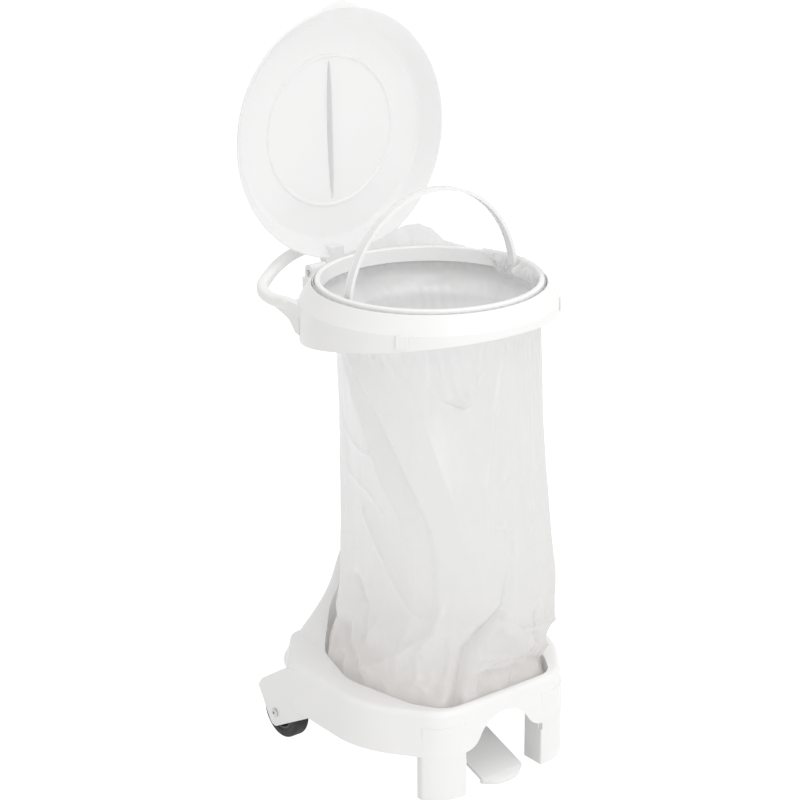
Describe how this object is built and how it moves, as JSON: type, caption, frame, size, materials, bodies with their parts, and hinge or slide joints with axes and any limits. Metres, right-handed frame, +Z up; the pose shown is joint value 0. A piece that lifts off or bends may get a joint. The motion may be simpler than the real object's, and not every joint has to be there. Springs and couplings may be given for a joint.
{
  "type": "pedal bin bag holder",
  "caption": "Pedal-operated waste bag holder with hinged round lid, bag ring with bail and push handle, upright post and wheeled base, holding a clear film bag",
  "frame": {"origin": "middle of the whole part's footprint, on the floor", "axes": "+Z up, -Y toward the pedal and the user, +X to the right of a person standing behind the post"},
  "size_m": [0.4668, 0.5362, 1.3249],
  "materials": {
    "white_plastic": "moulded polypropylene, light satin gloss",
    "white_tube": "white powder-coated aluminium tube",
    "bright_steel": "zinc-plated steel",
    "grey_plastic": "moulded grey plastic",
    "black_rubber": "plain black rubber",
    "clear_film": "thin translucent polyethylene film"
  },
  "bodies": {
    "frame": {"base": "white_plastic", "post": "white_tube", "ring": "white_plastic", "clip_left": "white_plastic", "clip_right": "white_plastic", "clamp_ring": "white_plastic", "hinge_pin": "bright_steel", "pedal_pin": "bright_steel", "axle_bolt_left": "bright_steel", "axle_bolt_right": "bright_steel", "axle_nut_left": "bright_steel", "axle_nut_right": "bright_steel", "bag": "clear_film"},
    "lid": {"lid": "white_plastic"},
    "pedal": {"pedal": "white_plastic"},
    "push_rod": {"push_rod": "bright_steel"},
    "bail": {"bail": "white_plastic"},
    "wheel_left": {"hub_left": "grey_plastic", "tyre_left": "black_rubber"},
    "wheel_right": {"hub_right": "grey_plastic", "tyre_right": "black_rubber"}
  },
  "joints": [
    {"name": "lid_hinge", "type": "hinge", "parent": "frame", "child": "lid", "pos_m": [0, 0.1949, 0.852], "axis": [1, 0, 0], "range_deg": [0, 90.9]},
    {"name": "pedal_hinge", "type": "hinge", "parent": "frame", "child": "pedal", "pos_m": [0, 0.0499, 0.112], "axis": [1, 0, 0], "range_deg": [-18.7, 0]},
    {"name": "rod_slide", "type": "slide", "parent": "frame", "child": "push_rod", "axis": [0, 0, 1], "range_m": [-0.0399, 0]},
    {"name": "bail_hinge", "type": "hinge", "parent": "frame", "child": "bail", "pos_m": [0, -0.0531, 0.865], "axis": [1, 0, 0], "range_deg": [0, 89.5]},
    {"name": "wheel_left_axle", "type": "hinge", "parent": "frame", "child": "wheel_left", "pos_m": [-0.204, 0.1264, 0.052], "axis": [1, 0, 0], "continuous": true},
    {"name": "wheel_right_axle", "type": "hinge", "parent": "frame", "child": "wheel_right", "pos_m": [0.204, 0.1264, 0.052], "axis": [1, 0, 0], "continuous": true}
  ],
  "couplings": [
    {"joint": "pedal_hinge", "follows": "lid_hinge", "ratio": -0.2057},
    {"joint": "rod_slide", "follows": "lid_hinge", "m_per_rad": -0.02514},
    {"joint": "bail_hinge", "follows": "lid_hinge", "ratio": 0.9845}
  ]
}
